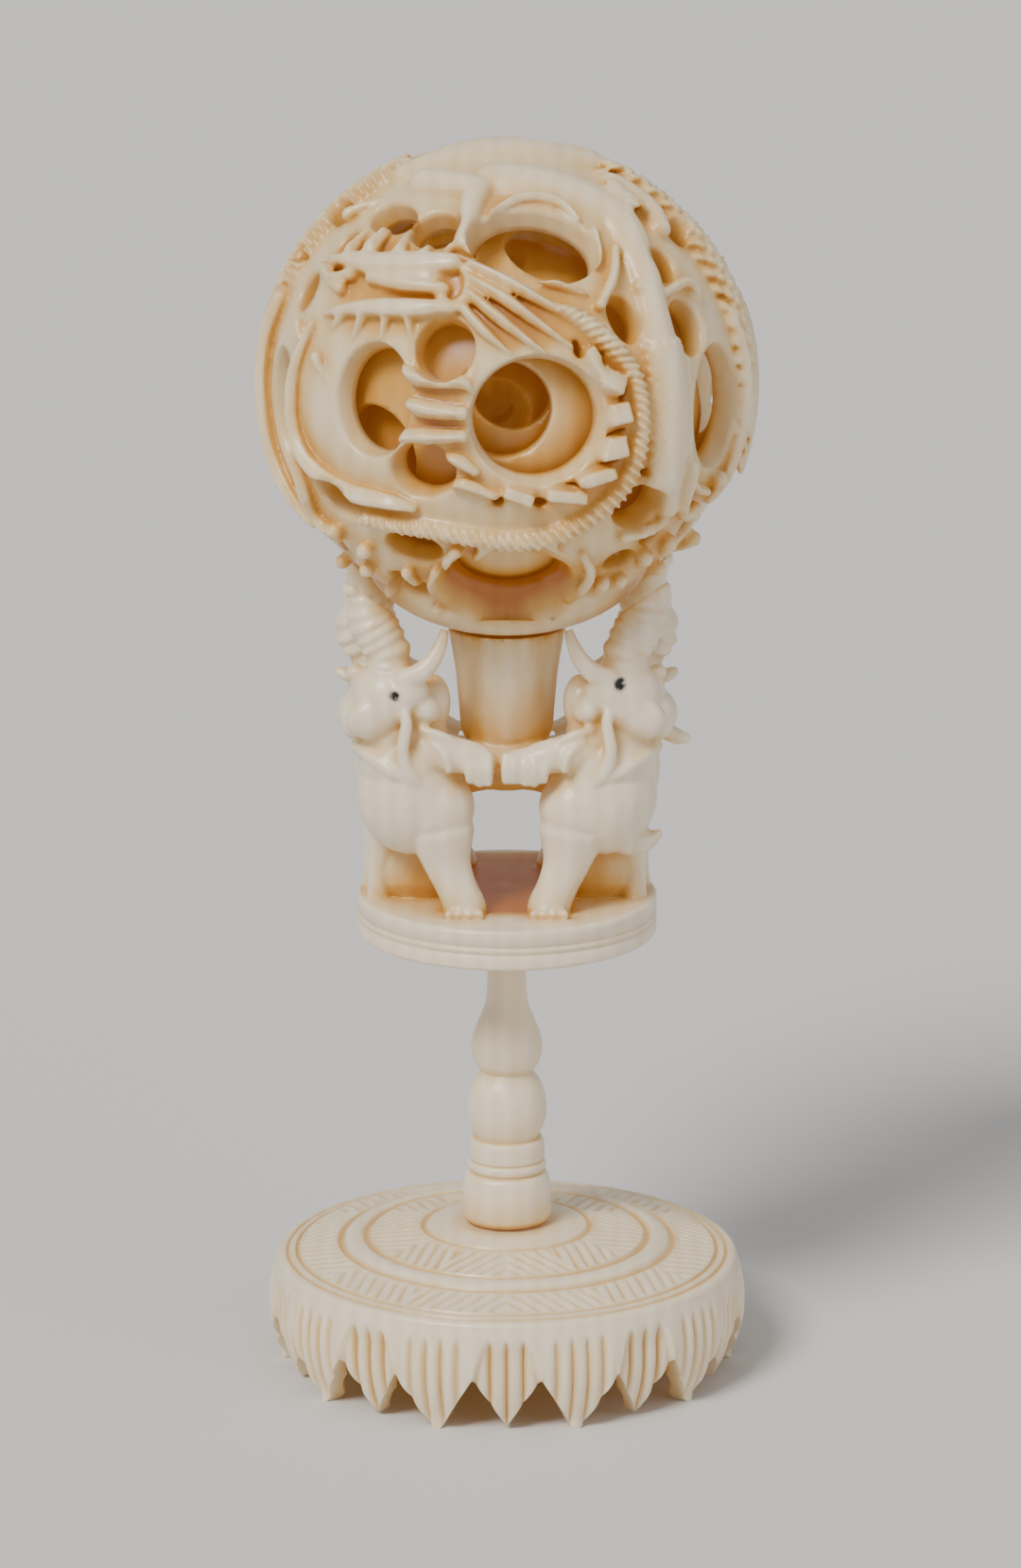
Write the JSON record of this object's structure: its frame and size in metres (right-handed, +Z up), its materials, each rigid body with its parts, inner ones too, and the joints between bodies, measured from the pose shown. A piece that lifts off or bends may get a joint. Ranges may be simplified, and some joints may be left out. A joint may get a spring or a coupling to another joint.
{
  "type": "carved puzzle ball on a stand",
  "caption": "Openwork dragon puzzle ball with looser pierced balls inside, carried by rearing elephants on a round plate, a turned stem and a lotus petal foot.",
  "frame": {"origin": "on the ground, under the middle of the foot", "axes": "+Z up along the stem, the pictured front faces -Y, +X to the right"},
  "size_m": [0.0537, 0.0516, 0.1369],
  "materials": {
    "ivory": "hand polished carved ivory or bone, soft satin gloss, cream",
    "deep_ivory": "the same ivory seen deep inside the ball, darker amber"
  },
  "bodies": {
    "root": {"lotus_foot": "ivory", "stem": "ivory", "elephant_stand": "ivory", "ball_outer": "ivory", "ball_inner_1": "deep_ivory", "ball_inner_2": "deep_ivory", "ball_inner_3": "deep_ivory"}
  },
  "joints": []
}
